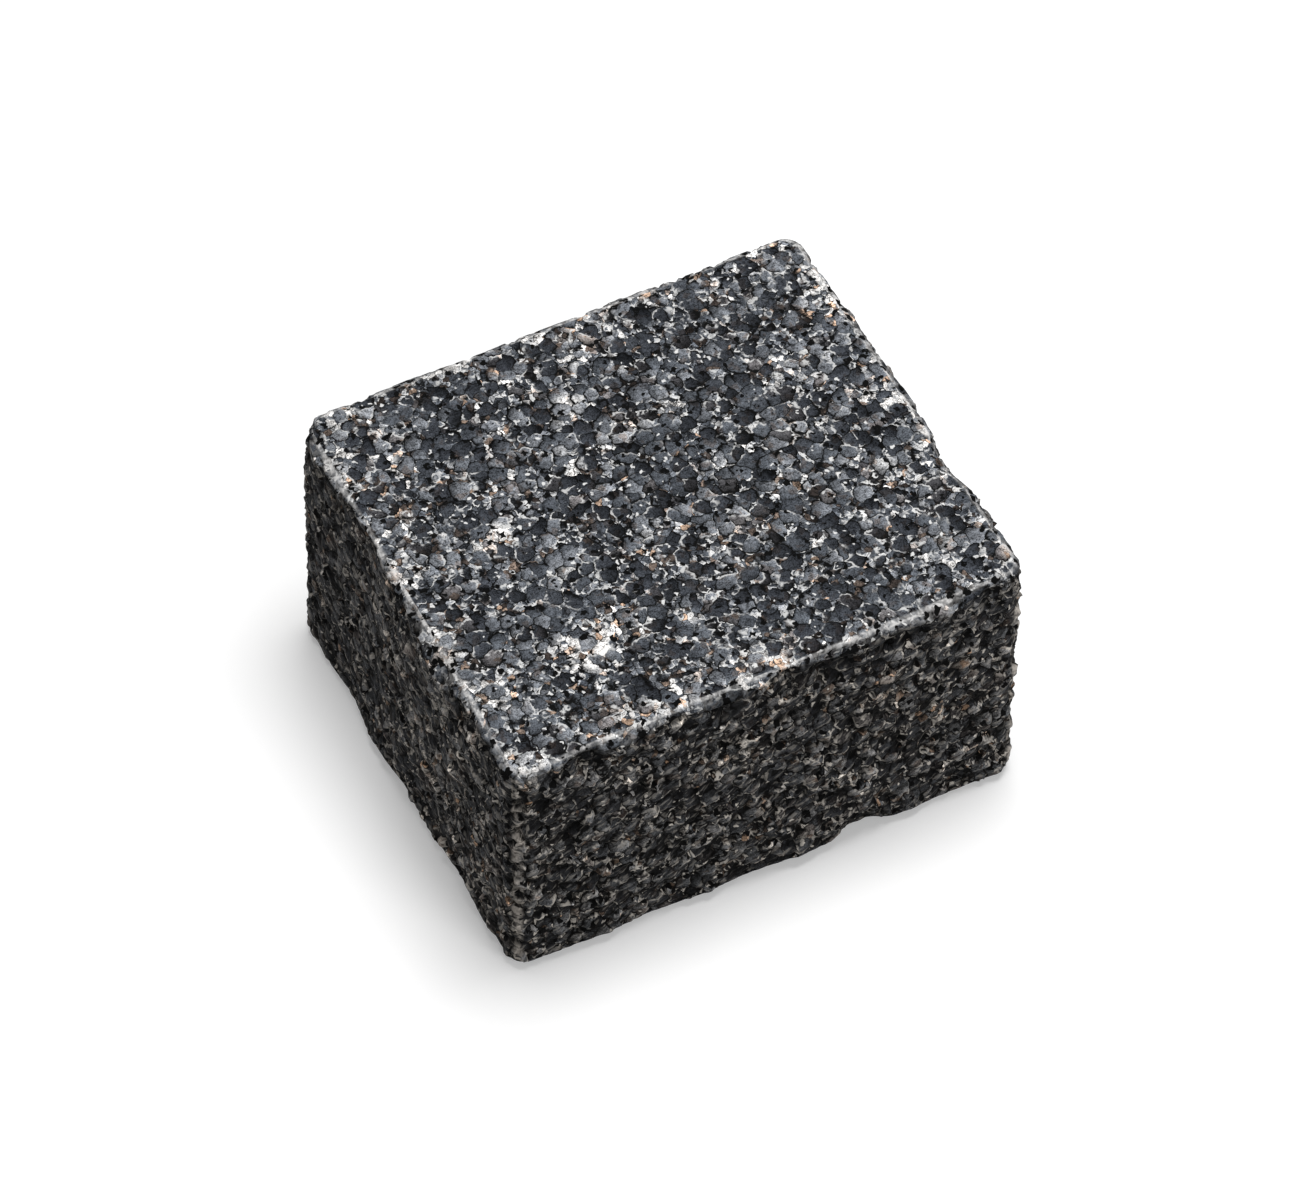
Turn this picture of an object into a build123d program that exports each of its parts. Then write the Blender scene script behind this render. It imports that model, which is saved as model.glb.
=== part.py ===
"""A hand-split granite sett, the small squared cobblestone of streets and drives.

The stone is one solid. It stands on its flat bed, with the head, the face that
is walked on, up. Its four sides are riven: they were split off with a hammer,
so they lean and bow, long ripples slant down them, and small lumps cover them.
"""

import os
from dataclasses import dataclass
from math import cos, pi, radians, sin, tan

from build123d import *

os.makedirs("parts", exist_ok=True)

# Nominal size, before the relief of hand splitting
sett_length = 111.0
sett_width = 98.4
sett_height = 64.0

# Edges: the plan corners, the worn arris of the head, the hammered bevel of the bed
corner_radius = 4.5
head_arris = 1.5
bed_bevel = 2.2

# The head is nearly flat: it rises a little to its middle, and one low wave crosses it
head_crown = 0.7
head_wave = 0.25

# Rows of small lumps and hollows down each side
lump_rows = 4

# Horizontal slices that the sides are lofted through, and the grid of the head's surface
slice_count = 8
head_grid_count = 9
reach = 1.1


@dataclass
class PlanCorner:
    """How far a corner stands outside the nominal rectangle, at the head and the bed."""

    head_x: float
    head_y: float
    bed_x: float
    bed_y: float


front_left = PlanCorner(head_x=0.8, head_y=0.6, bed_x=0.2, bed_y=-0.1)
front_right = PlanCorner(head_x=0.8, head_y=-1.0, bed_x=0.6, bed_y=0.4)
back_right = PlanCorner(head_x=0.3, head_y=-0.1, bed_x=-0.5, bed_y=-0.6)
back_left = PlanCorner(head_x=-1.0, head_y=0.1, bed_x=0.2, bed_y=-0.6)


@dataclass
class RivenFace:
    """The relief of one split side, measured outward from the flat between its corners."""

    bow: float  # rise at the middle of the side
    sway: float  # one full wave along the head edge, which dies out at the bed
    belly: float  # rise halfway down the side
    ripple: float  # height of the long ripples
    ripples: int  # half waves of the ripple along the side
    start: float  # how far into a half wave the ripple starts
    slant: float  # half waves that the ripple slides by from head to bed
    lump: float  # height of the small lumps
    lumps: int  # lumps and hollows along the side
    lump_start: float  # how far into a lump the first row starts
    lump_slant: float  # lumps that the rows slide by from head to bed


front = RivenFace(
    bow=0.5, sway=-0.3, belly=0.2, ripple=0.45, ripples=4, start=-0.88, slant=1.2,
    lump=0.5, lumps=9, lump_start=0.67, lump_slant=0.72,
)
right = RivenFace(
    bow=0.6, sway=-0.2, belly=0.3, ripple=0.3, ripples=4, start=0.07, slant=1.4,
    lump=0.25, lumps=7, lump_start=-0.91, lump_slant=0.6,
)
back = RivenFace(
    bow=0.3, sway=0.1, belly=0.4, ripple=0.35, ripples=5, start=0.6, slant=-1.1,
    lump=0.35, lumps=8, lump_start=0.12, lump_slant=-0.8,
)
left = RivenFace(
    bow=0.4, sway=-0.75, belly=0.2, ripple=0.45, ripples=4, start=-0.07, slant=1.0,
    lump=0.42, lumps=7, lump_start=-0.37, lump_slant=0.4,
)


def relief(face, along, depth):
    """Height of a riven side. Along and depth run from 0 to 1, depth from head to bed."""
    bow = face.bow * sin(pi * along)
    sway = face.sway * (1 - depth) * sin(2 * pi * along)
    belly = face.belly * sin(pi * depth)
    ripple = face.ripple * sin(pi * (face.ripples * along + face.start + face.slant * depth))
    column = sin(pi * (face.lumps * along + face.lump_start + face.lump_slant * depth))
    lump = face.lump * column * cos(pi * lump_rows * depth)
    fade = 1 - (2 * along - 1) ** 4
    return bow + fade * (sway + belly + ripple + lump)


def plan_corners(depth, grow=0.0):
    """The sharp plan corners at a depth, anticlockwise from the front left."""
    corners = []
    for corner, x_sign, y_sign in [
        (front_left, -1, -1),
        (front_right, 1, -1),
        (back_right, 1, 1),
        (back_left, -1, 1),
    ]:
        stand_x = corner.head_x + (corner.bed_x - corner.head_x) * depth + grow
        stand_y = corner.head_y + (corner.bed_y - corner.head_y) * depth + grow
        x = x_sign * (sett_length / 2 + stand_x)
        y = y_sign * (sett_width / 2 + stand_y)
        corners.append(Vector(x, y))
    return corners


def side_points(face, start, end, depth):
    """Points along one wavy side of a slice, from one corner arc to the next."""
    outward = Vector((end - start).Y, -(end - start).X).normalized()
    count = 2 * face.lumps
    points = [
        start + (end - start) * (i / count) + outward * relief(face, i / count, depth)
        for i in range(count + 1)
    ]
    return [(point.X, point.Y) for point in points]


def draw_slice(depth):
    """The closed outline of a slice: four riven sides joined by four round corners."""
    corners = plan_corners(depth)
    for side, face in enumerate([front, right, back, left]):
        before, start, end, after = (corners[(side + step) % 4] for step in (-1, 0, 1, 2))
        run = (end - start).normalized()
        turn_in = (start - before).get_angle(end - start)
        turn_out = (end - start).get_angle(after - end)
        first = start + run * corner_radius * tan(radians(turn_in / 2))
        last = end - run * corner_radius * tan(radians(turn_out / 2))
        way = (run.X, run.Y)
        Spline(*side_points(face, first, last, depth), tangents=[way, way])
        JernArc((last.X, last.Y), way, corner_radius, turn_out)


def head_point(u, v):
    """A point of the head's surface, where u and v run from -1/2 to 1/2 across the stone."""
    crown = head_crown * (cos(pi * u) * cos(pi * v) - 1)
    wave = head_wave * sin(2 * pi * (u + v))
    return (u * sett_length, v * sett_width, sett_height + crown + wave)


# The head's surface reaches past the stone all round, so that it cuts right across it
grid = [reach * (step / (head_grid_count - 1) - 0.5) for step in range(head_grid_count)]
head_surface = Face.make_surface_from_array_of_points(
    [[head_point(u, v) for v in grid] for u in grid]
)

# What the dressing hammer leaves: a plan that shrinks at 45 degrees towards the head and the bed.
# Each line gives a height, the depth whose plan is used, and how far that plan is grown.
top = sett_height + 2 * head_wave
edge_height = sett_height - head_crown
spread = sett_height / 4
dressing = [
    (0, 1, -bed_bevel),
    (spread, 1, spread - bed_bevel),
    (edge_height - spread, 0, spread - head_arris),
    (top, 0, edge_height - top - head_arris),
]

with BuildPart() as sett:
    # The sides, lofted through the slices from the bed to just above the head
    for step in range(slice_count):
        rise = step / (slice_count - 1)
        with BuildSketch(Plane.XY.offset(rise * top)):
            with BuildLine():
                draw_slice(1 - rise)
            make_face()
    loft()

    # The head, split along its own surface
    split(bisect_by=head_surface, keep=Keep.BOTTOM)

    # The worn arris of the head and the bevel round the bed
    with BuildPart(mode=Mode.INTERSECT):
        for height, depth, grow in dressing:
            with BuildSketch(Plane.XY.offset(height)) as outline:
                Polygon(*plan_corners(depth, grow), align=None)
                fillet(outline.vertices(), radius=max(corner_radius + grow, 0.5))
        loft(ruled=True)

sett.part.label = "sett"
export_step(sett.part, "parts/sett.step")
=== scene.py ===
"""A granite sett: the split block of the frame with its riven sides, worn head and grain.

The relief and the grain are worked out in millimetres, everything else in metres.
"""

from math import cos, radians, sin
from typing import NamedTuple

import bpy
from bpy.props import FloatProperty, FloatVectorProperty, PointerProperty
from bpy.types import Operator, Panel, PropertyGroup
from mathutils import Matrix, Vector


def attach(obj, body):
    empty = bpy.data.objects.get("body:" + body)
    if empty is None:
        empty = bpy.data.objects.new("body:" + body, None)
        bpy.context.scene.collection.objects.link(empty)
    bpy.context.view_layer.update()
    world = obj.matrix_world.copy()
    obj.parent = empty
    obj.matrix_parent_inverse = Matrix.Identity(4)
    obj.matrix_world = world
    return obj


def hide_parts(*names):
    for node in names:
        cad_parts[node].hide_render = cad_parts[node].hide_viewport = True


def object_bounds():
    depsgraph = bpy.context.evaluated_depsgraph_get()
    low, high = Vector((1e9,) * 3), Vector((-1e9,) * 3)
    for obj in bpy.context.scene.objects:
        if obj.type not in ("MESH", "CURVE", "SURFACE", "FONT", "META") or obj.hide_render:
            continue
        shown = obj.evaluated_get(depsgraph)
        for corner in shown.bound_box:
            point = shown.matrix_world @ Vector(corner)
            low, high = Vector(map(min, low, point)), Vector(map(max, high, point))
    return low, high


bl_info = {
    "name": "Granite Sett",
    "version": (1, 0, 0),
    "blender": (4, 5, 0),
    "location": "View3D > Sidebar > Sett",
    "description": "Gives a split granite block its riven sides, worn head and grain",
    "category": "Mesh",
}

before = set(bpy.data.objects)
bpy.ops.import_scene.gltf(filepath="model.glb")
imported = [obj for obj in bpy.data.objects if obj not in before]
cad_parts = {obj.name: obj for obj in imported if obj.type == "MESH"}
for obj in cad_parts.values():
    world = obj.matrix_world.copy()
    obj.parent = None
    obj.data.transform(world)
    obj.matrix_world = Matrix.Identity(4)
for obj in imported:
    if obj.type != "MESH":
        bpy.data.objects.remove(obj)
CAD_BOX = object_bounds()

MM = 1000.0

# The head of the stone, in millimetres
HEAD_HALF_LENGTH = 56.0
HEAD_HALF_WIDTH = 49.5
HEAD_HEIGHT = 64.0

# The mosaic of whole grains and the finer one of broken grains, in millimetres
GRAIN_SIZE = 3.0
SMALL_GRAIN_SIZE = 0.45 * GRAIN_SIZE

# Strokes of the splitting: how steeply they rise on the front and on the flanks, and their size
FRONT_RISE = radians(24)
FLANK_RISE = radians(37)
STROKE_LENGTH = 5.5
STROKE_WIDTH = 1.7
STROKE_DEPTH = 2.5

# Places and sizes of the stage, in metres
KEY_LAMP_PLACE = (0.2, 0.12, 1.7)
KEY_LAMP_SIZE = 0.8
FRONT_LAMP_PLACE = (0.35, -1.3, 0.8)
FRONT_LAMP_SIZE = 0.6
LAMP_TARGET = (0.0, 0.0, 0.03)
CAMERA_TARGET = (0.0, 0.0, 0.031)
CLIP_START = 0.05
FLOOR_REACH = 6.0

# Width of the camera's sensor, in millimetres
SENSOR_WIDTH = 36.0

# White of the sky, and of the floor where it shows
WHITE = (1.0, 1.0, 1.0, 1.0)
FLOOR_WHITE = (0.8, 0.8, 0.8, 1.0)


class Chip(NamedTuple):
    """A hollow that a hammer blow or a knock has left, in millimetres."""

    x: float
    y: float
    z: float
    radius: float
    depth: float


class PaleSpot(NamedTuple):
    """A cluster of pale grains on the head, in millimetres."""

    x: float
    y: float
    radius: float
    strength: float


CHIPS = [
    Chip(12.3, -51.0, 60.0, 7.0, 2.0),
    Chip(-9.5, -51.0, 60.5, 5.5, 1.4),
    Chip(-40.0, -51.0, 60.2, 5.5, 1.4),
    Chip(20.7, -50.0, 0.0, 8.0, 1.6),
    Chip(58.0, -17.4, 63.5, 9.0, 1.2),
    Chip(-57.0, 50.0, 64.0, 9.0, 2.0),
]

PALE_SPOTS = [
    PaleSpot(-29.5, -26.9, 7.0, 0.5),
    PaleSpot(12.0, 18.1, 6.0, 0.4),
    PaleSpot(-5.4, 26.8, 6.0, 0.4),
    PaleSpot(23.6, -7.6, 6.0, 0.35),
    PaleSpot(-7.8, -28.8, 4.0, 0.45),
    PaleSpot(-32.7, 5.4, 6.0, 0.35),
    PaleSpot(-0.6, -46.0, 9.0, 0.35),
    PaleSpot(-53.5, 5.9, 7.0, 0.35),
    PaleSpot(-53.5, -15.1, 7.0, 0.35),
    PaleSpot(-52.2, -46.1, 6.0, 0.05),
]


# Node trees


class Value:
    """An output socket that takes part in Python expressions on numbers."""

    def __init__(self, tree, socket):
        self.tree = tree
        self.socket = socket

    def out(self, name):
        """Another output of the same node."""
        outputs = self.socket.node.outputs
        return Value(self.tree, next(s for s in outputs if s.enabled and s.name == name))

    def __add__(self, other):
        return self.tree.math("ADD", self, other)

    def __radd__(self, other):
        return self.tree.math("ADD", other, self)

    def __sub__(self, other):
        return self.tree.math("SUBTRACT", self, other)

    def __rsub__(self, other):
        return self.tree.math("SUBTRACT", other, self)

    def __mul__(self, other):
        return self.tree.math("MULTIPLY", self, other)

    def __rmul__(self, other):
        return self.tree.math("MULTIPLY", other, self)

    def __truediv__(self, other):
        return self.tree.math("DIVIDE", self, other)

    def __abs__(self):
        return self.tree.math("ABSOLUTE", self)

    def __gt__(self, other):
        return self.tree.math("GREATER_THAN", self, other)

    def __lt__(self, other):
        return self.tree.math("LESS_THAN", self, other)


class Tree:
    """A node tree of a material, a world or a geometry modifier, filled by calls."""

    def __init__(self, node_tree):
        self.node_tree = node_tree

    def node(self, kind, settings=None, inputs=None, output=0):
        """Adds a node: its settings first, then the values or links of its sockets."""
        node = self.node_tree.nodes.new(kind)
        for name, setting in (settings or {}).items():
            if name == "stops":
                self.set_stops(node.color_ramp, setting)
            else:
                setattr(node, name, setting)
        for name, value in (inputs or {}).items():
            sockets = [s for s in node.inputs if s.enabled]
            if isinstance(name, int):
                socket = sockets[name]
            else:
                socket = next(s for s in sockets if s.name == name)
            if isinstance(value, Value):
                self.node_tree.links.new(value.socket, socket)
            else:
                socket.default_value = value
        outputs = [s for s in node.outputs if s.enabled]
        return Value(self, outputs[output]) if outputs else None

    def set_stops(self, ramp, stops):
        """Gives a colour ramp its stops, which are pairs of a place and a colour."""
        while len(ramp.elements) < len(stops):
            ramp.elements.new(1.0)
        for element, (place, colour) in zip(ramp.elements, stops):
            element.position = place
            element.color = colour

    def math(self, operation, *values):
        inputs = dict(enumerate(values))
        return self.node("ShaderNodeMath", {"operation": operation}, inputs)

    def vector(self, operation, *values):
        inputs = dict(enumerate(values))
        return self.node("ShaderNodeVectorMath", {"operation": operation}, inputs)

    def scaled(self, vector, factor):
        """A vector times a number."""
        settings = {"operation": "SCALE"}
        return self.node("ShaderNodeVectorMath", settings, {"Vector": vector, "Scale": factor})

    def dot(self, vector, direction):
        settings = {"operation": "DOT_PRODUCT"}
        return self.node("ShaderNodeVectorMath", settings, {0: vector, 1: direction})

    def joined(self, x, y, z):
        """A vector made of three numbers."""
        return self.node("ShaderNodeCombineXYZ", inputs={0: x, 1: y, 2: z})

    def split(self, vector):
        """The three numbers of a vector."""
        first = self.node("ShaderNodeSeparateXYZ", inputs={0: vector})
        return first, first.out("Y"), first.out("Z")

    def colour(self, factor, low, high):
        """A mix of two colours."""
        settings = {"data_type": "RGBA"}
        return self.node("ShaderNodeMix", settings, {0: factor, 1: low, 2: high})

    def tinted(self, colour, tint, factor):
        """A colour multiplied by a tint."""
        settings = {"data_type": "RGBA", "blend_type": "MULTIPLY"}
        return self.node("ShaderNodeMix", settings, {0: factor, 1: colour, 2: tint})

    def stored(self, geometry, name, value, data_type):
        """Geometry that carries a value as an attribute of its points."""
        settings = {"data_type": data_type, "domain": "POINT"}
        inputs = {"Geometry": geometry, "Name": name, "Value": value}
        return self.node("GeometryNodeStoreNamedAttribute", settings, inputs)

    def step(self, value, low, high):
        """A smooth step from 0 at low to 1 at high."""
        settings = {"interpolation_type": "SMOOTHSTEP"}
        inputs = {"Value": value, "From Min": low, "From Max": high}
        return self.node("ShaderNodeMapRange", settings, inputs)

    def noise(self, point, size, detail=2.0, roughness=0.5, output=0):
        """Noise from 0 to 1 whose features are about size across."""
        inputs = {"Vector": point, "Scale": 1 / size, "Detail": detail, "Roughness": roughness}
        return self.node("ShaderNodeTexNoise", {"noise_dimensions": "3D"}, inputs, output)

    def cells(self, point, size, feature="F1"):
        """Distance in a mosaic of cells about size across, measured in cell sizes."""
        inputs = {"Vector": point, "Scale": 1 / size}
        return self.node("ShaderNodeTexVoronoi", {"feature": feature}, inputs)


# What the relief and the grain share


class Zones(NamedTuple):
    """How far a point belongs to the head, the lip round it, the riven sides and their corners,
    and 1 on the front and the back."""

    head: Value
    lip: Value
    side: Value
    corner: Value
    front: Value


def zones(tree, normal):
    """The zones of a point, from the way that its surface faces."""
    x, y, z = tree.split(normal)
    return Zones(
        head=tree.step(z, 0.75, 0.97),
        lip=tree.step(z, 0.2, 0.45) * (1 - tree.step(z, 0.9, 0.99)),
        side=1 - tree.step(abs(z), 0.3, 0.7),
        corner=tree.step(tree.math("MINIMUM", abs(x), abs(y)), 0.25, 0.6),
        front=abs(y) > 0.7,
    )


class Grain(NamedTuple):
    """A mosaic of grains: distance from the grain's middle and depth inside its border in
    millimetres, the way across it from side to side, and three numbers from 0 to 1 of its own."""

    middle: Value
    border: Value
    across: Value
    kind: Value
    shade: Value
    lot: Value


def bend(tree, point, size, amount, detail):
    """The point moved about by noise, which makes straight borders ragged."""
    noise = tree.noise(point, size, detail, 0.6, output=1)
    away = tree.vector("SUBTRACT", noise, (0.5, 0.5, 0.5))
    return tree.vector("ADD", point, tree.scaled(away, amount))


def grain_bend(tree, point):
    """The point bent as the borders of the grains are."""
    return bend(tree, point, 0.62 * GRAIN_SIZE, 0.6 * GRAIN_SIZE, 2.0)


def grains(tree, bent, size):
    """The mosaic of grains about size across, at a bent point."""
    cells = tree.cells(bent, size)
    border = tree.cells(bent, size, "DISTANCE_TO_EDGE") * size
    lots = cells.out("Color")
    away = tree.vector("SUBTRACT", bent, cells.out("Position"))
    lean = tree.vector("SUBTRACT", lots, (0.5, 0.5, 0.5))
    return Grain(cells * size, border, tree.dot(away, lean), *tree.split(lots))


def strokes(tree, point, zone):
    """The point in a frame that is drawn out along the way in which a side was riven."""
    front = tree.joined(
        tree.dot(point, (cos(FRONT_RISE) / STROKE_LENGTH, 0.0, sin(FRONT_RISE) / STROKE_LENGTH)),
        tree.dot(point, (-sin(FRONT_RISE) / STROKE_WIDTH, 0.0, cos(FRONT_RISE) / STROKE_WIDTH)),
        tree.dot(point, (0.0, 1 / STROKE_DEPTH, 0.0)),
    )
    flank = tree.joined(
        tree.dot(point, (0.0, cos(FLANK_RISE) / STROKE_LENGTH, sin(FLANK_RISE) / STROKE_LENGTH)),
        tree.dot(point, (0.0, -sin(FLANK_RISE) / STROKE_WIDTH, cos(FLANK_RISE) / STROKE_WIDTH)),
        tree.dot(point, (1 / STROKE_DEPTH, 0.0, 0.0)),
    )
    settings = {"data_type": "VECTOR"}
    return tree.node("ShaderNodeMix", settings, {0: zone.front, 1: flank, 2: front})


def levels(tree, point):
    """The point in a frame in which noise is drawn out into level bands."""
    return tree.vector("MULTIPLY", point, (0.3, 0.3, 1.0))


def patch(tree, point, place, radius, strength):
    """A round patch, at full strength in its middle and gone at its radius."""
    settings = {"operation": "DISTANCE"}
    away = tree.node("ShaderNodeVectorMath", settings, {0: point, 1: place})
    return (1 - tree.step(away, 0.25 * radius, radius)) * strength


# The stone's relief


def remade_copy(node, size):
    """A copy of a node of the frame as small even quads, which relief can move."""
    block = bpy.data.objects.new("block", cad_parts[node].data.copy())
    bpy.context.scene.collection.objects.link(block)
    remesh = block.modifiers.new("Even Quads", "REMESH")
    remesh.mode = "VOXEL"
    remesh.voxel_size = size
    remesh.use_smooth_shade = True
    ease = block.modifiers.new("Ease", "SMOOTH")
    ease.factor = 0.5
    ease.iterations = 2
    return block


def riven_height(tree, point, zone, grain):
    """The riven sides: lumps, splinters, and plates that follow the grains and lean every way."""
    lumps = (tree.noise(point, 8.0, 3.0, 0.6) - 0.5) * 0.6
    plates = (grain.kind - 0.5) * 0.5 + grain.across * 0.5
    splinters = (tree.noise(strokes(tree, point, zone), 1.0, 2.0, 0.6) - 0.5) * 1.2
    gaps = (1 - tree.step(grain.border, 0.0, 0.55)) * 0.25
    return (lumps + plates + splinters - gaps - 0.2) * zone.side


def bed_hollows(tree, point, normal):
    """Depth of the shallow hollows in the bed, which is split too."""
    down = tree.split(tree.scaled(normal, -1.0))[2]
    hollows = tree.step(tree.noise(point, 11.0, 3.0, 0.6), 0.36, 0.7)
    return hollows * tree.step(down, 0.6, 0.95) * 1.2


def worn_height(tree, point, zone, grain):
    """The head, which is worn almost smooth."""
    worn = (tree.noise(point, 5.0, 2.0) - 0.5) * 0.3 + (grain.kind - 0.5) * 0.1
    return worn * zone.head


def edge_wear(tree, point, zone):
    """Bites on the lip, level notches down the upright corners and scoops under the lip."""
    z = tree.split(point)[2]
    below = tree.step(z, HEAD_HEIGHT - 9.0, HEAD_HEIGHT - 5.0)
    above = tree.step(z, HEAD_HEIGHT - 2.5, HEAD_HEIGHT - 1.0)
    under = below * (1 - above) * zone.side
    scoops = tree.step(tree.noise(point, 6.0, 1.0), 0.48, 0.7) * under
    bites = tree.step(tree.noise(point, 2.6, 2.0, 0.6), 0.5, 0.68) * zone.lip
    notches = tree.step(tree.noise(levels(tree, point), 1.9, 1.0), 0.46, 0.64)
    notches = notches * zone.corner * zone.side
    return bites + notches * 1.4 + scoops * 1.2


def relief_tree(relief):
    """Geometry nodes that carve the riven sides, the worn lip of the head and the chips."""
    group = bpy.data.node_groups.new("Sett Relief", "GeometryNodeTree")
    group.interface.new_socket("Geometry", in_out="INPUT", socket_type="NodeSocketGeometry")
    group.interface.new_socket("Geometry", in_out="OUTPUT", socket_type="NodeSocketGeometry")
    tree = Tree(group)
    geometry = tree.node("NodeGroupInput")
    position = tree.node("GeometryNodeInputPosition")
    normal = tree.node("GeometryNodeInputNormal")
    for name, value in (("rest_position", position), ("rest_normal", normal)):
        geometry = tree.stored(geometry, name, value, "FLOAT_VECTOR")

    point = tree.scaled(position, MM)
    zone = zones(tree, normal)
    grain = grains(tree, grain_bend(tree, point), GRAIN_SIZE)
    height = riven_height(tree, point, zone, grain) * (relief.side_relief * MM)
    height = height + worn_height(tree, point, zone, grain)
    height = height - bed_hollows(tree, point, normal)
    height = height - edge_wear(tree, point, zone) * (relief.arris_wear * MM)
    for chip in CHIPS:
        height = height - patch(tree, point, chip[:3], chip.radius, chip.depth)

    # The stone stays inside the box of the solid that it was split from
    moved = tree.vector("ADD", position, tree.scaled(normal, height / MM))
    low, high = CAD_BOX
    moved = tree.vector("MINIMUM", tree.vector("MAXIMUM", moved, tuple(low)), tuple(high))
    inputs = {"Geometry": geometry, "Position": moved}
    geometry = tree.node("GeometryNodeSetPosition", None, inputs)
    geometry = tree.stored(geometry, "relief", height, "FLOAT")
    tree.node("NodeGroupOutput", None, {"Geometry": geometry})
    return group


# The granite


class Ground(NamedTuple):
    """What the layers of the granite share: the point in millimetres, its normal, its relief and
    its zones, the mosaics of large and small grains, how closely the pale ones gather, the depth
    inside a large grain, 1 inside the whole ones, coarse mottling, splinters, and the point moved
    about, which makes flecks and pits ragged."""

    point: Value
    normal: Value
    relief: Value
    zone: Zones
    grain: Grain
    small: Grain
    cluster: Value
    depth: Value
    whole: Value
    mottle: Value
    splinter: Value
    ragged: Value


def pale_clusters(tree, point, zone):
    """How closely pale grains gather: in clusters, and along the edges of the head."""
    x, y, _ = tree.split(point)
    inset = tree.math("MINIMUM", HEAD_HALF_LENGTH - abs(x), HEAD_HALF_WIDTH - abs(y))
    wide_rim = (1 - tree.step(inset, 0.0, 8.0)) * 0.25
    narrow_rim = (1 - tree.step(inset, 1.0, 4.0)) * 0.2
    rim = (wide_rim + narrow_rim) * zone.head
    cluster = tree.step(tree.noise(point, 12.0, 2.0), 0.45, 0.75) * 0.3
    cluster = cluster + rim * tree.step(tree.noise(point, 6.0, 1.0), 0.35, 0.65)
    for spot in PALE_SPOTS:
        place = (spot.x, spot.y, HEAD_HEIGHT)
        cluster = cluster + patch(tree, point, place, spot.radius, spot.strength)
    return cluster


def read_ground(tree):
    """Reads what the relief has stored, and works out what the layers share."""
    rest = tree.node("ShaderNodeAttribute", {"attribute_name": "rest_position"}).out("Vector")
    normal = tree.node("ShaderNodeAttribute", {"attribute_name": "rest_normal"}).out("Vector")
    relief = tree.node("ShaderNodeAttribute", {"attribute_name": "relief"}).out("Fac")
    point = tree.scaled(rest, MM)
    zone = zones(tree, normal)
    bent = grain_bend(tree, point)
    grain = grains(tree, bent, GRAIN_SIZE)
    small = grains(tree, bent, SMALL_GRAIN_SIZE)
    cluster = pale_clusters(tree, point, zone)

    # Some grains are whole up to a radius of their own, the rest is a mosaic of broken ones
    radius = GRAIN_SIZE * (1.05 - grain.lot * 0.75) - cluster * 1.2
    depth = tree.math("MINIMUM", radius - grain.middle, grain.border)
    return Ground(
        point=point,
        normal=normal,
        relief=relief,
        zone=zone,
        grain=grain,
        small=small,
        cluster=cluster,
        depth=depth,
        whole=tree.step(depth, -0.05, 0.1),
        mottle=tree.step(tree.noise(point, 0.9, 1.0, 0.6), 0.3, 0.7),
        splinter=tree.noise(strokes(tree, point, zone), 0.55, 1.0, 0.65),
        ragged=bend(tree, point, 0.8, 1.3, 0.0),
    )


def grain_colours(tree, ground, colours):
    """The grains: mottled, one side lighter than the other as painted light, raised riven parts lighter
    as painted highlight, and some of them rusty.
    """
    grain = ground.grain
    small = ground.small
    whole_kind = grain.kind * 0.76 + ground.cluster * 0.7
    broken_kind = small.kind * 0.82 + grain.kind * 0.15 + ground.cluster + 0.04
    kind = broken_kind + (whole_kind - broken_kind) * ground.whole
    colour = tree.node("ShaderNodeValToRGB", {"stops": colours.scale()}, {"Fac": kind})
    fine_mottle = tree.step(tree.noise(ground.point, 0.28, 1.0, 0.7), 0.3, 0.7)
    mottle = 0.1 + ground.mottle * 0.75 + fine_mottle * 1.2
    # Painted highlight: the raised parts of the riven sides are made lighter.
    painted_ridge_light = 1.0 + tree.step(ground.relief, -0.3, 0.7) * ground.zone.side * 0.7
    # Painted light: each grain is lighter on one side and darker on the other.
    colour = tree.scaled(colour, mottle * painted_ridge_light * (1.0 + grain.across * 0.6))
    rusty_small = tree.step(small.shade, 0.83, 0.89) * (1 - ground.whole * 0.5)
    rusty = rusty_small + (grain.shade > 0.9) * 0.45
    return tree.tinted(colour, colours.rust, rusty)


def splinter_painted_light(tree, ground, colour, colours):
    """On the riven sides, splinters get painted highlights and painted shade."""
    side = ground.zone.side
    # Painted highlights on some splinters, painted shade on the others.
    splinter_highlight = tree.step(ground.splinter, 0.55, 0.66) * side
    dark = (1 - tree.step(ground.splinter, 0.33, 0.48)) * side
    colour = tree.colour(splinter_highlight * 0.25, colour, colours.glint)
    return tree.colour(dark * 0.6, colour, colours.gap)


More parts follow.
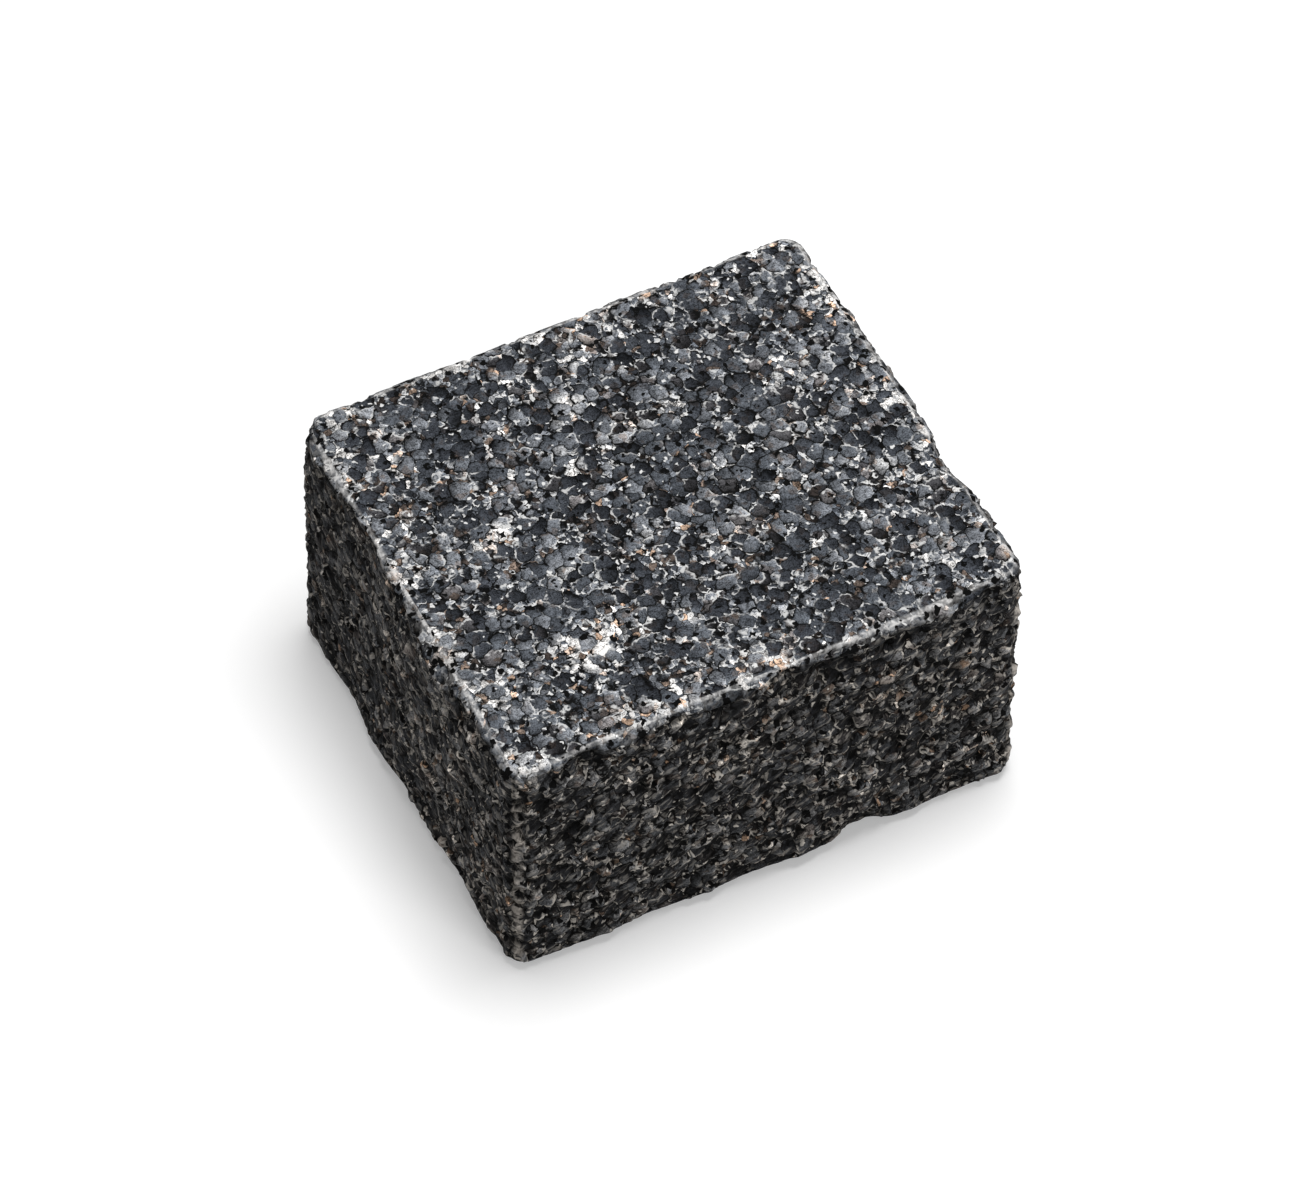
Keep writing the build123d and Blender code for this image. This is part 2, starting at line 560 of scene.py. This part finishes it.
def outlined_with_painted_light(tree, ground, colour, colours):
    """Painted highlights as bright crescents on one side of a grain, black gaps painted darker on the
    other, shaded side, and pale flecks that also stand in for glints.
    """
    grain = ground.grain
    small = ground.small
    broken = 1 - ground.whole

    # Painted highlights: bright crescents and shard rims on the lit side of the grains.
    broken_line = tree.step(tree.noise(ground.point, 1.4, 2.0), 0.4, 0.58)
    crescent_highlight = 1 - tree.step(abs(ground.depth - 0.12), 0.08, 0.28)
    crescent_highlight = crescent_highlight * tree.step(grain.across, 0.0, 0.35)
    crescent_highlight = crescent_highlight * broken_line * (grain.shade > 0.4)
    shard_highlight = 1 - tree.step(abs(small.border - 0.1), 0.06, 0.2)
    shard_highlight = shard_highlight * tree.step(small.across, 0.05, 0.25) * broken * (small.shade < 0.5)
    colour = tree.colour(tree.math("MAXIMUM", crescent_highlight, shard_highlight) * 0.9, colour, colours.glint)

    # Dark joints between grains, with painted shade making them darker on the shaded side.
    shaded = 1 - tree.step(grain.across, -0.35, 0.1)
    gap = (1 - tree.step(abs(ground.depth), 0.1, 0.38)) * (0.2 + shaded * 0.8)
    colour = tree.colour(gap, colour, colours.gap)
    # Dark chinks between broken grains, with painted shade on their shaded side.
    chink_and_shade = (1 - tree.step(small.border, 0.03, 0.2)) * (1 - tree.step(small.across, -0.15, 0.1))
    colour = tree.colour(chink_and_shade * broken, colour, colours.gap)

    # Pale flecks that also stand in for glints, a painted highlight.
    fleck_and_glint = tree.cells(ground.ragged, 1.8)
    lot, size, _ = tree.split(fleck_and_glint.out("Color"))
    fleck_and_glint = 1 - tree.step(fleck_and_glint, 0.1 + size * 0.1, 0.18 + size * 0.14)
    fleck_and_glint = fleck_and_glint * (lot > 0.75 - ground.zone.side * 0.2)
    return tree.colour(fleck_and_glint * 0.95, colour, colours.glint)


def worn_edges_and_painted_light(tree, ground, colour, colours):
    """The lip and the upright corners are worn pale in patches, partly as painted highlight, and
    painted shade darkens the corners' notches and the hollows of the riven sides.
    """
    zone = ground.zone
    point = ground.point
    x, y, z = tree.split(ground.normal)
    patchy = tree.step(tree.noise(point, 1.7, 2.0, 0.7), 0.42, 0.56)
    stretch = tree.step(tree.noise(point, 8.0, 1.0), 0.3, 0.6)
    # The pale band where the arris faces up is partly wear and partly painted highlight.
    edge = tree.step(z, 0.72, 0.84) * (1 - tree.step(z, 0.95, 0.99)) * (0.45 + stretch * 0.55)
    ridge = tree.step(tree.math("MINIMUM", abs(x), abs(y)), 0.4, 0.62) * zone.side
    streak = tree.step(tree.noise(levels(tree, point), 0.9, 1.0), 0.36, 0.52)
    # The raised streaks of the upright corners are painted pale, partly wear and partly painted
    # highlight.
    upright = ridge * tree.step(ground.relief, -1.3, -0.3) * streak * 0.85
    worn = zone.lip * 0.35 * stretch * patchy + upright
    pale = tree.math("MAXIMUM", edge * (0.4 + patchy * 0.6), worn)
    pale = pale * (0.45 + ground.mottle * 0.55)
    colour = tree.colour(pale, colour, colours.lip)
    # Painted shade in the notches between the streaks.
    colour = tree.colour(ridge * (1 - streak) * 0.5, colour, colours.gap)
    colour = tree.tinted(colour, colours.riven, zone.side)
    # Painted shade in the low hollows of the riven sides and the lip.
    painted_valley_shade = (1 - tree.step(ground.relief, -1.1, 0.0)) * (zone.side + zone.lip * 0.4)
    return tree.colour(painted_valley_shade * 0.75, colour, colours.gap)


def pits(tree, ground):
    """1 in the small pits between the grains, which are painted black as shade."""
    zone = ground.zone
    pit = tree.cells(ground.ragged, 2.7)
    lot, size, _ = tree.split(pit.out("Color"))
    size = size * 0.1 + zone.lip * 0.1 + zone.side * 0.05
    return (1 - tree.step(pit, 0.12 + size, 0.18 + size)) * (lot > 0.1)


def fine_height(tree, ground, pit):
    """The height for the bump: domed grains that lean, fine grit, splinters and pits."""
    grain = ground.grain
    side = ground.zone.side
    dome = (1 - tree.step(grain.middle, 0.3 * GRAIN_SIZE, 0.75 * GRAIN_SIZE)) * 0.3
    dome = dome + grain.across * (0.06 + side * 0.25)
    grit = tree.noise(ground.point, 0.5, 1.0, 0.6) * 0.06
    return dome + (grit + ground.splinter * side * 0.45) - pit * 0.5


def granite(colours):
    """Granite: dark round grains in a pale broken matrix, with painted highlights on their rims, and
    gaps and pits darkened partly by painted shade.
    """
    material = bpy.data.materials.new("granite")
    material.use_nodes = True
    material.node_tree.nodes.clear()
    tree = Tree(material.node_tree)
    ground = read_ground(tree)
    pit = pits(tree, ground)
    colour = grain_colours(tree, ground, colours)
    colour = splinter_painted_light(tree, ground, colour, colours)
    colour = outlined_with_painted_light(tree, ground, colour, colours)
    colour = worn_edges_and_painted_light(tree, ground, colour, colours)
    # Painted shade: the pits are painted dark.
    colour = tree.colour(pit, colour, colours.gap)
    height = fine_height(tree, ground, pit)
    inputs = {"Strength": 1.0, "Distance": 1 / MM, "Height": height}
    bump = tree.node("ShaderNodeBump", None, inputs)
    surface = tree.node(
        "ShaderNodeBsdfPrincipled",
        None,
        {
            "Base Color": colour,
            "Roughness": 0.8 - ground.grain.shade * 0.3,
            "Specular IOR Level": 0.03,
            "Normal": bump,
        },
    )
    tree.node("ShaderNodeOutputMaterial", None, {"Surface": surface})
    return material


# The stage


def paper(stage):
    """A pale floor that looks white, keeps the stone's shadow and throws little light back."""
    material = bpy.data.materials.new("paper")
    material.use_nodes = True
    material.node_tree.nodes.clear()
    tree = Tree(material.node_tree)
    seen = seen_directly(tree)
    dull = tree.node("ShaderNodeBsdfDiffuse", None, {"Color": stage.bounce})
    white = tree.node("ShaderNodeBsdfDiffuse", None, {"Color": FLOOR_WHITE})
    lift = tree.node("ShaderNodeEmission", None, {"Strength": stage.floor_lift})
    bright = tree.node("ShaderNodeAddShader", None, {0: white, 1: lift})
    surface = tree.node("ShaderNodeMixShader", None, {0: seen, 1: dull, 2: bright})
    tree.node("ShaderNodeOutputMaterial", None, {"Surface": surface})
    return material


def seen_directly(tree):
    """1 for a ray that shows the background: straight, mirrored or through glass."""
    path = tree.node("ShaderNodeLightPath")
    seen = tree.math("MAXIMUM", path.out("Is Camera Ray"), path.out("Is Glossy Ray"))
    return tree.math("MAXIMUM", seen, path.out("Is Transmission Ray"))


def sky(stage):
    """A world that looks white and lights the stone softly from all round."""
    world = bpy.data.worlds.new("sky")
    world.use_nodes = True
    world.node_tree.nodes.clear()
    tree = Tree(world.node_tree)
    seen = seen_directly(tree)
    strength = stage.sky_light + seen * (1 - stage.sky_light)
    background = tree.node("ShaderNodeBackground", None, {"Color": WHITE, "Strength": strength})
    tree.node("ShaderNodeOutputWorld", None, {"Surface": background})
    return world


def aim(place, target, roll=0.0):
    """The matrix of a lamp or camera at place that looks at target."""
    place = Vector(place)
    turn = (Vector(target) - place).to_track_quat("-Z", "Y").to_matrix().to_4x4()
    return Matrix.Translation(place) @ turn @ Matrix.Rotation(roll, 4, "Z")


def soft_lamp(name, place, size, power):
    """A square lamp that looks at the stone."""
    lamp = bpy.data.lights.new(name, "AREA")
    lamp.shape = "SQUARE"
    lamp.size = size
    lamp.energy = power
    holder = bpy.data.objects.new(name, lamp)
    holder.matrix_world = aim(place, LAMP_TARGET)
    bpy.context.scene.collection.objects.link(holder)


# Settings


class SettRelief(PropertyGroup):
    """Sizes of the stone's relief."""

    mesh_size: FloatProperty(
        name="Mesh Size",
        description="Size of the quads that the relief is carved in",
        default=0.00078,
        unit="LENGTH",
        subtype="DISTANCE",
    )
    side_relief: FloatProperty(
        name="Side Relief",
        description="Height of the lumps on the riven sides",
        default=0.001,
        unit="LENGTH",
        subtype="DISTANCE",
    )
    arris_wear: FloatProperty(
        name="Arris Wear",
        description="Depth of the small bites along the edges of the head",
        default=0.0008,
        unit="LENGTH",
        subtype="DISTANCE",
    )


def colour_property(name, description, default):
    return FloatVectorProperty(
        name=name,
        description=description,
        default=(*default, 1.0),
        size=4,
        min=0.0,
        max=1.0,
        subtype="COLOR",
    )


class SettColours(PropertyGroup):
    """Colours of the granite."""

    slate: colour_property("Slate", "The darkest grains", (0.019, 0.021, 0.025))
    dark: colour_property("Dark", "Dark slate grains", (0.038, 0.042, 0.05))
    middle: colour_property("Middle", "Blue-grey grains", (0.084, 0.093, 0.107))
    grey: colour_property("Grey", "Grey grains", (0.19, 0.2, 0.218))
    light: colour_property("Light", "Light grey grains", (0.44, 0.44, 0.44))
    white: colour_property("White", "The palest grains", (0.7, 0.68, 0.66))
    rust: colour_property("Rust", "Tint of the rusty grains", (0.78, 0.56, 0.42))
    # A painted highlight: crescents, shard rims, lit splinters and flecks.
    glint: colour_property("Glint", "Crescents and flecks", (0.75, 0.75, 0.74))
    # Dark joints and mica, and also painted shade in hollows, notches, pits, splinters and on the
    # shaded side of grains.
    gap: colour_property("Gap", "Gaps, mica and pits", (0.003, 0.003, 0.003))
    # Wear on the lip and the upright ridges, and also their painted highlight.
    lip: colour_property("Lip", "The worn edge of the head", (0.66, 0.65, 0.64))
    riven: colour_property("Riven", "Tint of the riven sides", (1.0, 0.93, 0.85))

    def scale(self):
        """The ramp of grain colours, from dark to pale."""
        places = (0.0, 0.3, 0.55, 0.78, 0.92, 1.0)
        shades = (self.slate, self.dark, self.middle, self.grey, self.light, self.white)
        return list(zip(places, shades))


class SettStage(PropertyGroup):
    """Floor, light and camera."""

    bounce: colour_property("Bounce", "Colour of the light that the floor throws back", (0.3, 0.3, 0.3))
    floor_lift: FloatProperty(
        name="Floor Lift",
        description="How much the floor is lightened where it shows",
        default=0.25,
        min=0.0,
    )
    sky_light: FloatProperty(
        name="Sky Light",
        description="Strength of the light from all round",
        default=0.26,
        min=0.0,
    )
    key_power: FloatProperty(
        name="Key Power",
        description="Power of the large lamp overhead",
        default=24.0,
        unit="POWER",
    )
    front_power: FloatProperty(
        name="Front Power",
        description="Power of the smaller lamp in front",
        default=6.0,
        unit="POWER",
    )
    camera_place: FloatVectorProperty(
        name="Camera Place",
        description="Where the camera stands",
        default=(-0.4304, -0.8202, 1.2232),
        unit="LENGTH",
        subtype="TRANSLATION",
    )
    camera_roll: FloatProperty(
        name="Camera Roll",
        description="Lean of the camera to the side",
        default=radians(0.9065),
        unit="ROTATION",
        subtype="ANGLE",
    )
    lens: FloatProperty(
        name="Focal Length",
        description="Focal length of the camera in millimetres, on a sensor 36 mm wide",
        default=210.0,
        subtype="DISTANCE_CAMERA",
    )


# Operators


class SETT_OT_stone(Operator):
    """Carve the stone from the frame's block and give it its granite"""

    bl_idname = "sett.stone"
    bl_label = "Carve Stone"

    def execute(self, context):
        relief = context.scene.sett_relief
        block = remade_copy("sett", relief.mesh_size)
        block.modifiers.new("Relief", "NODES").node_group = relief_tree(relief)
        depsgraph = context.evaluated_depsgraph_get()
        mesh = bpy.data.meshes.new_from_object(
            block.evaluated_get(depsgraph), preserve_all_data_layers=True, depsgraph=depsgraph
        )
        bpy.data.objects.remove(block)
        mesh.materials.clear()
        mesh.materials.append(granite(context.scene.sett_colours))
        stone = bpy.data.objects.new("riven_sett", mesh)
        context.scene.collection.objects.link(stone)
        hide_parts("sett")
        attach(stone, "root")
        return {"FINISHED"}


class SETT_OT_stage(Operator):
    """Lay the floor, hang the lamps and set the camera"""

    bl_idname = "sett.stage"
    bl_label = "Set Stage"

    def execute(self, context):
        scene = context.scene
        stage = scene.sett_stage
        sheet = bpy.data.meshes.new("floor")
        signs = ((-1, -1), (1, -1), (1, 1), (-1, 1))
        corners = [(x * FLOOR_REACH, y * FLOOR_REACH, 0.0) for x, y in signs]
        sheet.from_pydata(corners, [], [(0, 1, 2, 3)])
        sheet.materials.append(paper(stage))
        floor = bpy.data.objects.new("floor", sheet)
        scene.collection.objects.link(floor)
        scene.world = sky(stage)
        soft_lamp("key_lamp", KEY_LAMP_PLACE, KEY_LAMP_SIZE, stage.key_power)
        soft_lamp("front_lamp", FRONT_LAMP_PLACE, FRONT_LAMP_SIZE, stage.front_power)

        camera = bpy.data.cameras.new("camera")
        camera.sensor_width = SENSOR_WIDTH
        camera.lens = stage.lens
        camera.clip_start = CLIP_START
        holder = bpy.data.objects.new("camera", camera)
        holder.matrix_world = aim(stage.camera_place, CAMERA_TARGET, stage.camera_roll)
        scene.collection.objects.link(holder)
        scene.camera = holder
        scene.view_settings.view_transform = "Standard"
        return {"FINISHED"}


class SETT_PT_sett(Panel):
    """The settings and the operators, in the sidebar of the 3D view"""

    bl_idname = "SETT_PT_sett"
    bl_label = "Granite Sett"
    bl_space_type = "VIEW_3D"
    bl_region_type = "UI"
    bl_category = "Sett"

    def draw(self, context):
        for settings in (
            context.scene.sett_relief,
            context.scene.sett_colours,
            context.scene.sett_stage,
        ):
            for name in settings.__annotations__:
                self.layout.prop(settings, name)
        self.layout.operator(SETT_OT_stone.bl_idname)
        self.layout.operator(SETT_OT_stage.bl_idname)


classes = (SettRelief, SettColours, SettStage, SETT_OT_stone, SETT_OT_stage, SETT_PT_sett)


def register():
    for cls in classes:
        bpy.utils.register_class(cls)
    bpy.types.Scene.sett_relief = PointerProperty(type=SettRelief)
    bpy.types.Scene.sett_colours = PointerProperty(type=SettColours)
    bpy.types.Scene.sett_stage = PointerProperty(type=SettStage)


def unregister():
    del bpy.types.Scene.sett_stage
    del bpy.types.Scene.sett_colours
    del bpy.types.Scene.sett_relief
    for cls in reversed(classes):
        bpy.utils.unregister_class(cls)


def main():
    register()
    bpy.ops.sett.stone()
    bpy.ops.sett.stage()


if __name__ == "__main__":
    main()
